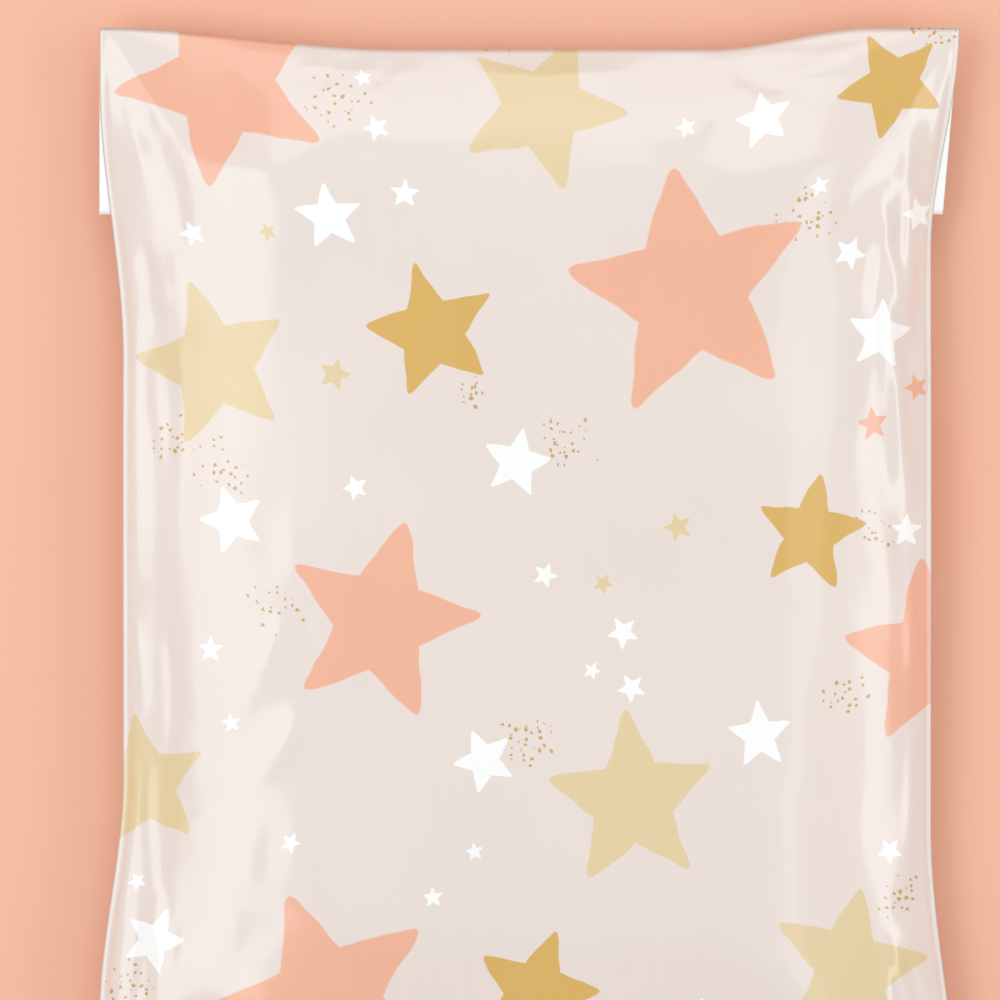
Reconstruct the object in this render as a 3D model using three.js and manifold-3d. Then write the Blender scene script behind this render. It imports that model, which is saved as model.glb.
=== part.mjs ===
// A sealed poly mailer bag with a soft garment inside, lying on its back.
// Units are millimetres. +Z is up and out of the front face, +Y runs towards the folded top edge.
// The origin is on the surface the bag lies on, under the middle of its outline.

import * as THREE from "three";
import { mergeVertices } from "three/addons/utils/BufferGeometryUtils.js";
import Module from "manifold-3d";

// Driving dimensions
const FLAT_WIDTH = 254;
const FLAT_LENGTH = 330;
const FILLED_HEIGHT = 30;
const SEAM_HEIGHT = 12;
const SEAM_EDGE = 0.8;
const FLAP_LENGTH = 55;
const FLAP_THICKNESS = 0.8;
const FLAP_BITE = 0.4;

// How far the filling draws the side edges in, and over which share of the half length they flare out again
const LEFT_WAIST = { pull: 7.0, upper: [0.41, 0.9], lower: [0.34, 0.77] };
const RIGHT_WAIST = { pull: 8.4, upper: [0.6, 1.0], lower: [0.43, 1.0] };

// How far the filling draws the end folds in, and over which share of the half width they come back
const TOP_DIP = { pull: 6.5, left: [0.3, 1.0], right: [0.42, 0.8] };
const BOTTOM_DIP = { pull: 5.0, left: [0.3, 1.0], right: [0.3, 1.0] };

// Width of the slope between an edge and the flat middle of the bag
const LEFT_SLOPE = 56;
const RIGHT_SLOPE = 46;
const END_SLOPE = 62;
const SLOPE_ROUNDNESS = 2.1;

// The back would bulge this far below the surface, so there it lies flat instead
const BACK_PRESSED = 3.5;

// The flap's side edges, measured from the middle line at its free end
const FLAP_LEFT = 127.2;
const FLAP_RIGHT = 122.2;
const FLAP_TUCK = 0.5;
const FLAP_LANDING = 8;

// Number of steps in the surface grids, and how much closer together they lie towards the edges
const STEPS_ACROSS = 34;
const STEPS_ALONG = 42;
const FLAP_STEPS_ALONG = 9;
const EDGE_CROWDING = 0.4;

const HALF_WIDTH = FLAT_WIDTH / 2;
const HALF_LENGTH = FLAT_LENGTH / 2;

const FILM = new THREE.MeshStandardMaterial({ color: 0xede1d9, roughness: 0.38, metalness: 0 });

function blend(range, value) {
  return THREE.MathUtils.smoothstep(value, range[0], range[1]);
}

// Half width of the bag at a place along its length, v from -1 at the bottom fold to 1 at the top fold
function halfWidth(u, v) {
  const waist = u < 0 ? LEFT_WAIST : RIGHT_WAIST;
  const range = v < 0 ? waist.lower : waist.upper;
  return HALF_WIDTH - waist.pull * (1 - blend(range, Math.abs(v)));
}

// Half length of the bag at a place across its width, u from -1 at the left edge to 1 at the right edge
function halfLength(u, v) {
  const dip = v < 0 ? BOTTOM_DIP : TOP_DIP;
  const range = u < 0 ? dip.left : dip.right;
  return HALF_LENGTH - dip.pull * (1 - blend(range, Math.abs(u)));
}

// Rounded slope from 0 at an edge to 1 where the flat middle begins
function rise(distance, length) {
  const rest = 1 - THREE.MathUtils.clamp(distance / length, 0, 1);
  return 1 - Math.pow(rest, SLOPE_ROUNDNESS);
}

// How full the bag is at a place, from 0 on its outline to 1 in the middle
function fullness(u, v) {
  const sideSlope = THREE.MathUtils.lerp(LEFT_SLOPE, RIGHT_SLOPE, (u + 1) / 2);
  const across = rise((1 - Math.abs(u)) * HALF_WIDTH, sideSlope);
  const along = rise((1 - Math.abs(v)) * HALF_LENGTH, END_SLOPE);
  return across * along;
}

function frontHeight(u, v) {
  const crown = FILLED_HEIGHT - SEAM_HEIGHT - SEAM_EDGE / 2;
  return SEAM_HEIGHT + SEAM_EDGE / 2 + crown * fullness(u, v);
}

// The back is flat where the bag's weight presses it down, and leaves room for the flap's thickness under it
function backHeight(u, v) {
  const y = v * halfLength(u, v);
  const flapEnd = HALF_LENGTH - FLAP_LENGTH;
  const landing = THREE.MathUtils.smoothstep(y, flapEnd - 2 * FLAP_LANDING, flapEnd - FLAP_LANDING);
  const seat = FLAP_THICKNESS * landing;
  const depth = SEAM_HEIGHT + BACK_PRESSED;
  const free = SEAM_HEIGHT - SEAM_EDGE / 2 - depth * fullness(u, v);
  return Math.max(seat, free);
}

// Turns a share from 0 to 1 into a place from -1 to 1, with the steps closer together towards both ends
function spread(share) {
  const place = share * 2 - 1;
  return THREE.MathUtils.lerp(place, Math.sin((place * Math.PI) / 2), EDGE_CROWDING);
}

// Closed body between an upper and a lower surface over one outline, each a function of two shares from 0 to 1
function closedSheet(stepsAcross, stepsAlong, upper, lower) {
  const points = [];
  const faces = [];
  const index = (side, i, j) => (side * (stepsAlong + 1) + j) * (stepsAcross + 1) + i;
  for (const surface of [upper, lower]) {
    for (let j = 0; j <= stepsAlong; j += 1) {
      for (let i = 0; i <= stepsAcross; i += 1) {
        points.push(...surface(i / stepsAcross, j / stepsAlong).toArray());
      }
    }
  }
  const quad = (a, b, c, d) => faces.push(a, b, c, a, c, d);
  for (let j = 0; j < stepsAlong; j += 1) {
    for (let i = 0; i < stepsAcross; i += 1) {
      quad(index(0, i, j), index(0, i + 1, j), index(0, i + 1, j + 1), index(0, i, j + 1));
      quad(index(1, i, j), index(1, i, j + 1), index(1, i + 1, j + 1), index(1, i + 1, j));
    }
  }
  for (let i = 0; i < stepsAcross; i += 1) {
    const last = stepsAlong;
    quad(index(1, i, 0), index(1, i + 1, 0), index(0, i + 1, 0), index(0, i, 0));
    quad(index(0, i, last), index(0, i + 1, last), index(1, i + 1, last), index(1, i, last));
  }
  for (let j = 0; j < stepsAlong; j += 1) {
    const last = stepsAcross;
    quad(index(0, 0, j), index(0, 0, j + 1), index(1, 0, j + 1), index(1, 0, j));
    quad(index(1, last, j), index(1, last, j + 1), index(0, last, j + 1), index(0, last, j));
  }
  const geometry = new THREE.BufferGeometry();
  geometry.setAttribute("position", new THREE.Float32BufferAttribute(points, 3));
  geometry.setIndex(faces);
  return geometry;
}

// The filled body: front panel over back panel, joined along the outline
function bodyPoint(s, t, height) {
  const u = spread(s);
  const v = spread(t);
  return new THREE.Vector3(u * halfWidth(u, v), v * halfLength(u, v), height(u, v));
}

function makeBody() {
  const upper = (s, t) => bodyPoint(s, t, frontHeight);
  const lower = (s, t) => bodyPoint(s, t, backHeight);
  return closedSheet(STEPS_ACROSS, STEPS_ALONG, upper, lower);
}

// Turns a place on the plan into the body's own u and v
function planToBody(x, y) {
  let u = x / HALF_WIDTH;
  let v = y / HALF_LENGTH;
  for (let pass = 0; pass < 6; pass += 1) {
    u = THREE.MathUtils.clamp(x / halfWidth(u, v), -1, 1);
    v = THREE.MathUtils.clamp(y / halfLength(u, v), -1, 1);
  }
  return [u, v];
}

// The flap: it turns over the top fold, lies against the back, and shows beyond the drawn-in side edges
function flapPoint(s, t, offset) {
  const u = spread(s);
  const freeHalf = u < 0 ? FLAP_LEFT : FLAP_RIGHT;
  const x = u * THREE.MathUtils.lerp(freeHalf, HALF_WIDTH - FLAP_TUCK, t);
  const start = HALF_LENGTH - FLAP_LENGTH;
  const end = halfLength(u, 1) - FLAP_TUCK;
  const y = THREE.MathUtils.lerp(start, end, t);
  const [bodyU, bodyV] = planToBody(x, y);
  return new THREE.Vector3(x, y, Math.max(0, backHeight(bodyU, bodyV) - FLAP_THICKNESS) + offset);
}

function makeFlap() {
  const upper = (s, t) => flapPoint(s, t, FLAP_THICKNESS + FLAP_BITE);
  const lower = (s, t) => flapPoint(s, t, 0);
  return closedSheet(STEPS_ACROSS, FLAP_STEPS_ALONG, upper, lower);
}

// Joins two closed bodies into one
function join(wasm, first, second) {
  const solids = [first, second].map((geometry) => {
    const merged = mergeVertices(geometry, 1e-4);
    const mesh = new wasm.Mesh({
      numProp: 3,
      vertProperties: new Float32Array(merged.getAttribute("position").array),
      triVerts: new Uint32Array(merged.getIndex().array),
    });
    return new wasm.Manifold(mesh);
  });
  const mesh = solids[0].add(solids[1]).getMesh();
  const joined = new THREE.BufferGeometry();
  joined.setAttribute("position", new THREE.BufferAttribute(mesh.vertProperties, 3));
  joined.setIndex(new THREE.BufferAttribute(mesh.triVerts, 1));
  joined.computeVertexNormals();
  return joined;
}

const wasm = await Module();
wasm.setup();

const bag = new THREE.Mesh(join(wasm, makeBody(), makeFlap()), FILM);
bag.name = "mailer_bag";

const object = new THREE.Group();
object.add(bag);

export default object;
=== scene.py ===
# %% [markdown]
# # A sealed poly mailer bag
# The object is a shipping bag of printed plastic film with a folded garment in it. One long web of film
# makes the whole bag: it is folded at the bottom, welded along both sides, and its end is turned over the
# top as a flap and stuck down on the back. The bag lies on its back with the printed front up.
# Everything here is in metres, +Z is out of the front and +Y runs towards the folded top edge.

# %% Load the frame
import math
import random

import bpy
import numpy as np
from mathutils import Matrix, Vector, noise
from mathutils.bvhtree import BVHTree


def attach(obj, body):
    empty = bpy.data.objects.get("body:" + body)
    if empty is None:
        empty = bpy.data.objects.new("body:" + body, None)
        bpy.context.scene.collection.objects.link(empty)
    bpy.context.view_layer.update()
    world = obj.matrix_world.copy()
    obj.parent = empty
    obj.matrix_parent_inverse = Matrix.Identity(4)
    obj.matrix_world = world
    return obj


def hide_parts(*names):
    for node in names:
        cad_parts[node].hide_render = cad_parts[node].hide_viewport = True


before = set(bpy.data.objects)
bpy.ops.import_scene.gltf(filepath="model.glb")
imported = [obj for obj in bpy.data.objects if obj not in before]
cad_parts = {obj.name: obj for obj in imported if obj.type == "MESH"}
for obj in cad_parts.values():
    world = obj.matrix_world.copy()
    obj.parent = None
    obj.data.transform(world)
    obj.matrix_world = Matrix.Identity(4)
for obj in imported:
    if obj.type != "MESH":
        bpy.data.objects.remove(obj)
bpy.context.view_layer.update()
MM = 0.001


# %% [markdown]
# ## The camera
# The photograph looks straight down on the front from far away, and cuts the bottom of the bag off. A long
# lens high above the bag gives that flat view. The view is as wide as the photograph at the bag's scale.

# %% Set the camera
PHOTO_SIZE_PX = 1000
TOP_EDGE_M = 0.254
TOP_EDGE_PX = 860
METRES_PER_PX = TOP_EDGE_M / TOP_EDGE_PX
VIEW_WIDTH = PHOTO_SIZE_PX * METRES_PER_PX
BAG_MIDDLE_PX = (529.5, 586.5)
SEAM_HEIGHT = 12 * MM
CAMERA_HEIGHT = 1.6
SENSOR_WIDTH = 36


def add_camera():
    data = bpy.data.cameras.new("long_lens")
    data.sensor_width = SENSOR_WIDTH
    data.lens = SENSOR_WIDTH * (CAMERA_HEIGHT - SEAM_HEIGHT) / VIEW_WIDTH
    camera = bpy.data.objects.new("long_lens", data)
    right = (PHOTO_SIZE_PX / 2 - BAG_MIDDLE_PX[0]) * METRES_PER_PX
    up = (BAG_MIDDLE_PX[1] - PHOTO_SIZE_PX / 2) * METRES_PER_PX
    camera.location = (right, up, CAMERA_HEIGHT)
    bpy.context.scene.collection.objects.link(camera)
    bpy.context.scene.camera = camera
    return camera


camera = add_camera()
print("camera at", tuple(round(n, 4) for n in camera.location), "lens mm", round(camera.data.lens, 1))

# %% [markdown]
# ## The filled shape
# Two flat panels with something thick between them can't stay 254 mm wide: the sides are drawn in at the
# waist and flare out again at the corners, and the end folds dip in the middle. The shape is written as a
# few curves of u, from -1 at the left edge to 1 at the right, and v, from -1 at the bottom to 1 at the top.

# %% Describe the outline and the slopes
FLAT_WIDTH = 254 * MM
FLAT_LENGTH = 330 * MM
FLAP_LENGTH = 55 * MM
FILLED_HEIGHT = 30 * MM
BACK_PRESSED = 3.5 * MM
# How steep the front is at some distances in from an edge: distance in mm, rise for each mm
LEFT_SLOPE = [(0, 0.62), (10, 0.60), (15, 0.50), (19, 0.31), (44, 0.27), (56, 0)]
RIGHT_SLOPE = [(0, 0.82), (11, 0.72), (17, 0.42), (28, 0.30), (32, 0.18), (42, 0.12), (50, 0)]
END_SLOPE = [(0, 0.64), (5, 0.52), (34, 0.42), (46, 0)]
LEFT_WAIST = {"pull": 7.0 * MM, "upper": (0.41, 0.90), "lower": (0.34, 0.77)}
RIGHT_WAIST = {"pull": 8.4 * MM, "upper": (0.60, 1.00), "lower": (0.43, 1.00)}
TOP_DIP = {"pull": 6.5 * MM, "left": (0.30, 1.00), "right": (0.42, 0.80)}
BOTTOM_DIP = {"pull": 5.0 * MM, "left": (0.30, 1.00), "right": (0.30, 1.00)}


def smooth(start, end, value):
    share = np.clip((value - start) / (end - start), 0, 1)
    return share * share * (3 - 2 * share)


def side_pull(waist, v):
    flare = np.where(v < 0, smooth(*waist["lower"], np.abs(v)), smooth(*waist["upper"], np.abs(v)))
    return waist["pull"] * (1 - flare)


def end_pull(dip, u):
    level = np.where(u < 0, smooth(*dip["left"], np.abs(u)), smooth(*dip["right"], np.abs(u)))
    return dip["pull"] * (1 - level)


def outline(u, v):
    half_width = FLAT_WIDTH / 2 - np.where(u < 0, side_pull(LEFT_WAIST, v), side_pull(RIGHT_WAIST, v))
    half_length = FLAT_LENGTH / 2 - np.where(v < 0, end_pull(BOTTOM_DIP, u), end_pull(TOP_DIP, u))
    return u * half_width, v * half_length


def rise(distance, slope):
    """Share of the full height at a distance in from an edge, from the slopes added up."""
    places = np.linspace(0, slope[-1][0], 200)
    steepness = np.interp(places, [entry[0] for entry in slope], [entry[1] for entry in slope])
    height = np.concatenate([[0], np.cumsum((steepness[1:] + steepness[:-1]) / 2)])
    return np.interp(distance / MM, places, height / height[-1])


def fullness(u, v):
    from_side = (1 - np.abs(u)) * FLAT_WIDTH / 2
    across = np.where(u < 0, rise(from_side, LEFT_SLOPE), rise(from_side, RIGHT_SLOPE))
    return across * rise((1 - np.abs(v)) * FLAT_LENGTH / 2, END_SLOPE)


waist_x, _ = outline(np.array([-1.0, 1.0]), np.zeros(2))
print("sides at the waist, mm", [round(x, 1) for x in (waist_x / MM).tolist()])

# %% [markdown]
# ## The folds
# Film hardly stretches, so the slack at the sides lies in long soft folds. Each one is drawn as a stroke:
# where it starts and ends on the bag, how far it bows to one side, how wide it is and how high it stands,
# all in millimetres from the middle of the bag. The film is left to settle around them afterwards.

# %% Draw the folds of the front and the back
FRONT_FOLDS = [
    # start, end, bow, width, height
    ((-115, 141), (-102, 99), 2, 6, -1.5),
    ((-112, 99), (-106, 73), -1, 5, -1.2),
    ((-112, 67), (-109, -16), 1, 5, -0.9),
    ((-71, -11), (-87, -45), -2, 5, 0.9),
    ((-64, -37), (-83, -63), -2, 6, 1.3),
    ((-82, -62), (-86, -95), 1, 6, 0.9),
    ((-86, -95), (-98, -120), 1, 6, 0.9),
    ((-108, -33), (-111, -92), 2, 4, -1.0),
    ((-112, -85), (-106, -125), 0, 4, 0.9),
    ((103, 114), (112, 76), 0, 4.5, 1.5),
    ((112, 130), (112, 78), 0, 3.5, 1.0),
    ((105, 88), (111, 24), 0, 4.0, 1.8),
    ((106, -8), (104, -82), 2, 7, -1.1),
    ((105, -125), (111, -101), 2, 5, 1.2),
    ((111, -101), (121, -130), 2, 5, 1.1),
    ((117, -4), (117, -92), 1, 3, -0.9),
    ((-15, 151), (27, 151), 1, 5, 1.3),
    ((-80, 153), (-30, 151), -1, 5, -1.0),
    ((80, 152), (125, 163), 2, 5, 1.4),
    ((60, 149), (80, 146), 0, 5, -0.8),
    ((-60, -150), (10, -149), 2, 6, 1.2),
    ((40, -151), (90, -148), -2, 6, -1.0),
]
BACK_FOLDS = [
    ((-104, 60), (-100, -60), 3, 6, 1.6),
    ((-112, -20), (-104, -100), -2, 5, -1.5),
    ((104, 80), (108, -10), -2, 5, 1.6),
    ((98, -20), (106, -110), 3, 6, -1.6),
    ((-90, -128), (-112, -150), 2, 6, 1.8),
    ((86, -130), (112, -152), -2, 6, 1.8),
    ((-40, -148), (40, -149), 2, 6, 1.4),
]
print("folds on the front", len(FRONT_FOLDS), "and on the back", len(BACK_FOLDS))

# %% Turn the strokes into height
FOLD_SHARPNESS = 1.4
FOLD_START_FADE = (-0.25, 0.3)
FOLD_END_FADE = (0.7, 1.25)


def fold_height(folds, x, y):
    """Height of all the strokes together. Each fades at both its ends and is a bell across its width."""
    height = np.zeros_like(x)
    for (x0, y0), (x1, y1), bow, width, tall in folds:
        dx, dy = x1 - x0, y1 - y0
        length = math.hypot(dx, dy)
        along = ((x / MM - x0) * dx + (y / MM - y0) * dy) / length**2
        aside = ((x / MM - x0) * dy - (y / MM - y0) * dx) / length + bow * 4 * along * (1 - along)
        fade = smooth(*FOLD_START_FADE, along) * (1 - smooth(*FOLD_END_FADE, along))
        height += tall * MM * fade * np.exp(-FOLD_SHARPNESS * (aside / width) ** 2)
    return height


print("highest fold of the front, mm", max(fold[-1] for fold in FRONT_FOLDS))

# %% [markdown]
# ## The pouch as cloth
# The two panels are square grids that share their outline, where the welds and the folds are. The back is
# the front's grid turned over. The simulation works at ten times real size, because Blender's cloth
# is at its best with cells of a few centimetres.

# %% Model the two panels of the pouch
CELL = 3.6 * MM
STEPS_ACROSS = round(FLAT_WIDTH / CELL)
STEPS_ALONG = round(FLAT_LENGTH / CELL)
SEAM_FADE = 0.05
CRINKLE = 0.5 * MM
CRINKLE_SCALE = 30
SEAM_WAVE = 0.9 * MM
SEAM_WAVE_TURNS = 5.1
SEAM_WAVE_START = 1.0
SEAM_WAVE_NEARNESS = 8
BACK_SEED = 7.0


def grid_places(across, along):
    return np.meshgrid(np.linspace(-1, 1, across + 1), np.linspace(-1, 1, along + 1), indexing="ij")


def noise_over(x, y, scale_x, scale_y, seed):
    values = [noise.noise(Vector((a * scale_x, b * scale_y, seed))) for a, b in zip(x.ravel(), y.ravel())]
    return np.array(values).reshape(x.shape)


def modelled_panel(side):
    u, v = grid_places(STEPS_ACROSS, STEPS_ALONG)
    x, y = outline(u, v)
    wave = np.sin(SEAM_WAVE_TURNS * v + SEAM_WAVE_START) * np.abs(u) ** SEAM_WAVE_NEARNESS
    seam = SEAM_HEIGHT + SEAM_WAVE * wave
    inside = np.clip((1 - np.maximum(np.abs(u), np.abs(v))) / SEAM_FADE, 0, 1)
    if side == "front":
        z = seam + (FILLED_HEIGHT - SEAM_HEIGHT) * fullness(u, v) + inside * fold_height(FRONT_FOLDS, x, y)
    else:
        z = seam - (SEAM_HEIGHT + BACK_PRESSED) * fullness(u, v) - inside * fold_height(BACK_FOLDS, x, y)
    crinkle = noise_over(x, y, CRINKLE_SCALE, CRINKLE_SCALE, BACK_SEED * (side == "back"))
    z = np.maximum(z + inside * CRINKLE * crinkle, CRINKLE)
    return np.stack([x, y, z], axis=-1)


panels = {side: modelled_panel(side) for side in ("front", "back")}
print("panel grids", panels["front"].shape, "front height mm", round(panels["front"][..., 2].max() / MM, 1))

# %% Number the points and faces of the panels
def point_numbers(across, along):
    return np.arange((across + 1) * (along + 1)).reshape(across + 1, along + 1)


def panel_faces(across, along, turned):
    rows = point_numbers(across, along)
    quads = np.stack([rows[:-1, :-1], rows[1:, :-1], rows[1:, 1:], rows[:-1, 1:]], axis=-1).reshape(-1, 4)
    return quads[:, ::-1] if turned else quads


def shared_numbers(across, along):
    """Point numbers of the back panel, which shares the front's points along the outline."""
    numbers = point_numbers(across, along)
    numbers[1:-1, 1:-1] = numbers.max() + 1 + point_numbers(across - 2, along - 2)
    return numbers


print("faces of the pouch", 2 * len(panel_faces(STEPS_ACROSS, STEPS_ALONG, False)))

# %% [markdown]
# ## Let the film settle
# The welded outline is pinned, as the stiff double film there hardly moves. Inside it the film is pressed
# out by a little air, held up by the folded garment, which is a hidden rounded block, and stopped by the
# floor. Tension and bending soften the drawn folds and join them into each other.

# %% Shape the hidden garment
SIM_SCALE = 10
GARMENT_HALF = (100 * MM, 138 * MM, 13.8 * MM)
GARMENT_MIDDLE = 15 * MM
GARMENT_CORNERS = 6.0
GARMENT_EDGES = 2.2


def add_garment():
    bpy.ops.mesh.primitive_ico_sphere_add(subdivisions=5, radius=1)
    block = bpy.context.object
    block.name = "hidden_garment"
    for point in block.data.vertices:
        a, b, c = (abs(n) for n in point.co)
        plan = (a**GARMENT_CORNERS + b**GARMENT_CORNERS) ** (1 / GARMENT_CORNERS)
        size = (plan**GARMENT_EDGES + c**GARMENT_EDGES) ** (1 / GARMENT_EDGES)
        stretched = [n / size * half for n, half in zip(point.co, GARMENT_HALF)]
        point.co = Vector((stretched[0], stretched[1], stretched[2] + GARMENT_MIDDLE)) * SIM_SCALE
    return block


print("hidden garment, mm", [round(2 * half / MM, 1) for half in GARMENT_HALF])

# %% Set the film's stiffness and what stops it
SIM_FRAMES = 30
AIR_VOLUME = 1.75
AIR_PUSH = 5


def add_stop(block):
    block.modifiers.new("Collision", "COLLISION")
    block.collision.thickness_outer = 0.005
    block.collision.cloth_friction = 0.2
    block.collision.damping = 0.5


def make_cloth(pouch, seam_points):
    pouch.vertex_groups.new(name="seam").add(seam_points, 1.0, "REPLACE")
    cloth = pouch.modifiers.new("Cloth", "CLOTH")
    film = cloth.settings
    film.quality = 6
    film.mass = 0.2
    film.tension_stiffness = 80
    film.compression_stiffness = 80
    film.shear_stiffness = 80
    film.bending_stiffness = 1.0
    film.tension_damping = 5
    film.compression_damping = 5
    film.shear_damping = 5
    film.air_damping = 1
    film.vertex_group_mass = "seam"
    film.use_pressure = True
    film.use_pressure_volume = True
    film.target_volume = AIR_VOLUME
    film.pressure_factor = AIR_PUSH
    film.effector_weights.gravity = 0.05
    cloth.collision_settings.collision_quality = 3
    cloth.collision_settings.distance_min = 0.006
    cloth.point_cache.frame_end = SIM_FRAMES + 1


print("volume for the air to reach, litres", AIR_VOLUME * 1000 / SIM_SCALE**3)

# %% Simulate the film
def add_mesh(name, points, faces):
    mesh = bpy.data.meshes.new(name)
    mesh.from_pydata([tuple(p) for p in points], [], [tuple(int(n) for n in f) for f in faces])
    mesh.update()
    made = bpy.data.objects.new(name, mesh)
    bpy.context.scene.collection.objects.link(made)
    return made


def mesh_points(mesh):
    flat = np.zeros(len(mesh.vertices) * 3, dtype=np.float32)
    mesh.vertices.foreach_get("co", flat)
    return flat.reshape(-1, 3).astype(float)


def settle(front, back):
    across, along = STEPS_ACROSS, STEPS_ALONG
    numbers = shared_numbers(across, along)
    inner = back[1:-1, 1:-1].reshape(-1, 3)
    points = np.concatenate([front.reshape(-1, 3), inner]) * SIM_SCALE
    back_faces = numbers.ravel()[panel_faces(across, along, True)]
    pouch = add_mesh("film_pouch", points, np.concatenate([panel_faces(across, along, False), back_faces]))
    rows = point_numbers(across, along)
    seam = np.unique(np.concatenate([rows[0], rows[-1], rows[:, 0], rows[:, -1]]))
    make_cloth(pouch, [int(n) for n in seam])
    reach = SIM_SCALE * FLAT_LENGTH
    table_corners = [(-reach, -reach, 0), (reach, -reach, 0), (reach, reach, 0), (-reach, reach, 0)]
    table = add_mesh("hidden_table", table_corners, [(0, 1, 2, 3)])
    garment = add_garment()
    for stop in (garment, table):
        add_stop(stop)
    for number in range(1, SIM_FRAMES + 1):
        bpy.context.scene.frame_set(number)
    settled = pouch.evaluated_get(bpy.context.evaluated_depsgraph_get()).data
    result = mesh_points(settled) / SIM_SCALE
    bpy.context.scene.frame_set(1)
    for used in (pouch, table, garment):
        bpy.data.objects.remove(used)
    shape = (across + 1, along + 1, 3)
    return result[: rows.size].reshape(shape), result[numbers.ravel()].reshape(shape)


def volume_of(front, back):
    depth = front[..., 2] - back[..., 2]
    cell = (depth[1:, 1:] + depth[:-1, 1:] + depth[1:, :-1] + depth[:-1, :-1]) / 4
    wide = front[1:, 1:, 0] - front[:-1, 1:, 0]
    long = front[1:, 1:, 1] - front[1:, :-1, 1]
    return float((cell * wide * long).sum())


print("modelled volume, litres", round(volume_of(panels["front"], panels["back"]) * 1000, 3))
panels["front"], panels["back"] = settle(panels["front"], panels["back"])
print("settled height mm", round(panels["front"][..., 2].max() / MM, 1))

# %% [markdown]
# ## A finer surface
# The settled grid is read through smooth curves at many more places, closer together beside the side welds,
# so that the weld's own narrow shape can be modelled there. Small puckers that start at the weld are added
# in the same pass, and so are the sharp creases, which the coarse cloth grid would have smoothed away.

# %% Choose the finer places
FINE_ACROSS = 176
SIDE_CROWDING = 0.45
FINE_ALONG = 206
WELD_STEPS = [0.6 * MM, 1.2 * MM, 1.8 * MM, 2.5 * MM, 3.4 * MM]


def fine_places(count, size, steps, crowding):
    even = np.linspace(-1, 1, count + 1)
    even = even + crowding * (np.sin(even * math.pi / 2) - even)
    inner = even[np.abs(even) < 1 - (max(steps, default=0) + size / count / 2) / (size / 2)]
    beside = [1 - step / (size / 2) for step in steps]
    return np.sort(np.concatenate([inner, [-1, 1], beside, [-place for place in beside]]))


fine_u = fine_places(FINE_ACROSS, FLAT_WIDTH, WELD_STEPS, SIDE_CROWDING)
fine_v = fine_places(FINE_ALONG, FLAT_LENGTH, [], 0)
U, V = np.meshgrid(fine_u, fine_v, indexing="ij")
print("fine places", len(fine_u), "across and", len(fine_v), "along")

# %% Weigh the points for smooth curves
def curve_weights(places, steps):
    """Rows of weights that read a grid of steps at the given places along a Catmull-Rom curve."""
    spot = (places + 1) / 2 * steps
    cell = np.clip(np.floor(spot).astype(int), 0, steps - 1)
    t = spot - cell
    parts = [
        -0.5 * t + t**2 - 0.5 * t**3,
        1 - 2.5 * t**2 + 1.5 * t**3,
        0.5 * t + 2 * t**2 - 1.5 * t**3,
        -0.5 * t**2 + 0.5 * t**3,
    ]
    weights = np.zeros((len(places), steps + 1))
    for offset, part in zip((-1, 0, 1, 2), parts):
        number = cell + offset
        inside = np.clip(number, 0, steps)
        weights[np.arange(len(places)), inside] += part
        beyond = number - inside
        # a point past the end is the end point carried on by one step
        neighbour = np.clip(inside - beyond, 0, steps)
        weights[np.arange(len(places)), inside] += part * (beyond != 0)
        weights[np.arange(len(places)), neighbour] -= part * (beyond != 0)
    return weights


weights_u = curve_weights(fine_u, STEPS_ACROSS)
weights_v = curve_weights(fine_v, STEPS_ALONG)
print("weights", weights_u.shape, weights_v.shape)

# %% Draw the sharp creases
CREASES = [
    # start, end, bow, width, height
    ((-118, 112), (-117.5, 60), 0, 5.2, 1.15),
    ((-117.5, 64), (-117.5, 6), 0.4, 4.6, 0.90),
    ((-118.5, -8), (-119.5, -62), 0.5, 9, 0.90),
    ((-118.5, -54), (-121, -92), 0.8, 5.5, 1.30),
    ((-121, -80), (-125, -126), 0.4, 6, 1.50),
    ((-86, 152.5), (-40, 151.5), 0.4, 1.8, 0.34),
    ((-12, 150), (24, 150.5), 0.6, 2.2, 0.42),
    ((70, 150), (104, 153), 0.8, 2.0, 0.36),
    ((-119, -98), (-121, -136), -0.6, 3.6, 0.75),
    ((-116, -12), (-114, -34), 0.5, 1.8, 0.34),
    ((-106, -16), (-105.5, -48), 0.8, 2.0, -0.34),
    ((-112, -55), (-110, -90), -1, 2.2, 0.38),
    ((-108, -84), (-106, -124), 1, 2.2, -0.36),
    ((-113, -96), (-117, -128), 0.5, 2.0, 0.38),
    ((-111, 66), (-109, 42), 0, 2.0, 0.34),
    ((-112, 102), (-106, 74), 0.8, 2.4, 0.38),
    ((-106, 70), (-106, 30), 0.4, 2.2, -0.32),
    ((-122, 160), (-108, 136), 1, 2.4, 0.36),
    ((-119, 148), (-113, 122), -0.6, 2.0, 0.30),
    ((103.5, 112), (110.5, 76), -0.6, 2.4, 0.60),
    ((111.8, 128), (111.8, 86), 0, 1.8, 0.44),
    ((105, 88), (111, 26), 0.5, 2.2, 0.55),
    ((112, 14), (113, -28), 0.3, 2.4, 0.40),
    ((113, -40), (111, -84), 0.6, 2.2, 0.36),
    ((106, -104), (112, -124), 0.6, 2.2, 0.45),
    ((117, -70), (118, -110), 0, 1.8, 0.28),
    ((122, 158), (112, 140), -1, 2.4, 0.36),
    ((122, 148), (118, 118), 0, 2.0, 0.32),
    ((-92, 158), (-62, 153), 0.6, 2.0, 0.30),
    ((52, 155), (84, 157), 0.6, 2.0, 0.30),
]
print("creases", len(CREASES))

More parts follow.
